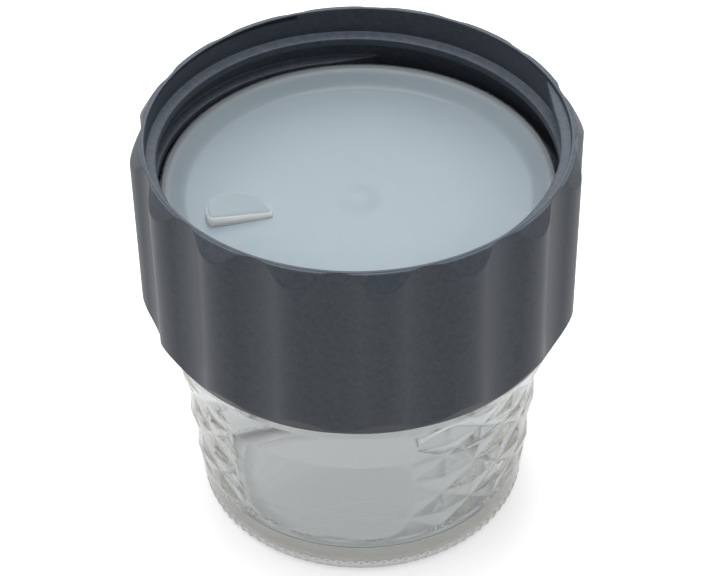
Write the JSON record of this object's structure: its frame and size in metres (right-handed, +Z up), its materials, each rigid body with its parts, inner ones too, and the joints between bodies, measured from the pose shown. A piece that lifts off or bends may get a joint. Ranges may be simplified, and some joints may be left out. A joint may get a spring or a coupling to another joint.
{
  "type": "sourdough starter jar",
  "caption": "Small tapered glass jar with a quilted relief, a deep lobed screw collar threaded at both ends, and a translucent divider disc lying in the collar.",
  "frame": {"origin": "centre of the face that the jar stands on, on the axis of the jar", "axes": "+Z up along the axis of the jar and the collar; -Y is the side with the plain panel, which the picture shows; +X is to the right there"},
  "size_m": [0.0768, 0.0768, 0.0762],
  "materials": {
    "clear_glass": "clear pressed glass",
    "gasket_silicone": "soft matte silicone",
    "collar_plastic": "fine matte, slate grey",
    "disc_silicone": "translucent bluish silicone"
  },
  "bodies": {
    "jar": {"glass_jar": "clear_glass"},
    "seal": {"sealing_gasket": "gasket_silicone"},
    "collar": {"screw_collar": "collar_plastic"},
    "disc": {"divider_disc": "disc_silicone"}
  },
  "joints": [
    {"name": "seal_lift", "type": "slide", "parent": "jar", "child": "seal", "axis": [0, 0, 1], "range_m": [0, 0.0087]},
    {"name": "collar_turn", "type": "hinge", "parent": "seal", "child": "collar", "pos_m": [0, 0, 0.0605], "axis": [0, 0, 1], "range_deg": [0, 610]},
    {"name": "disc_lift", "type": "slide", "parent": "collar", "child": "disc", "axis": [0, 0, 1], "range_m": [0, 0.022]}
  ],
  "couplings": [
    {"joint": "seal_lift", "follows": "collar_turn", "m_per_rad": 0.00080851}
  ]
}
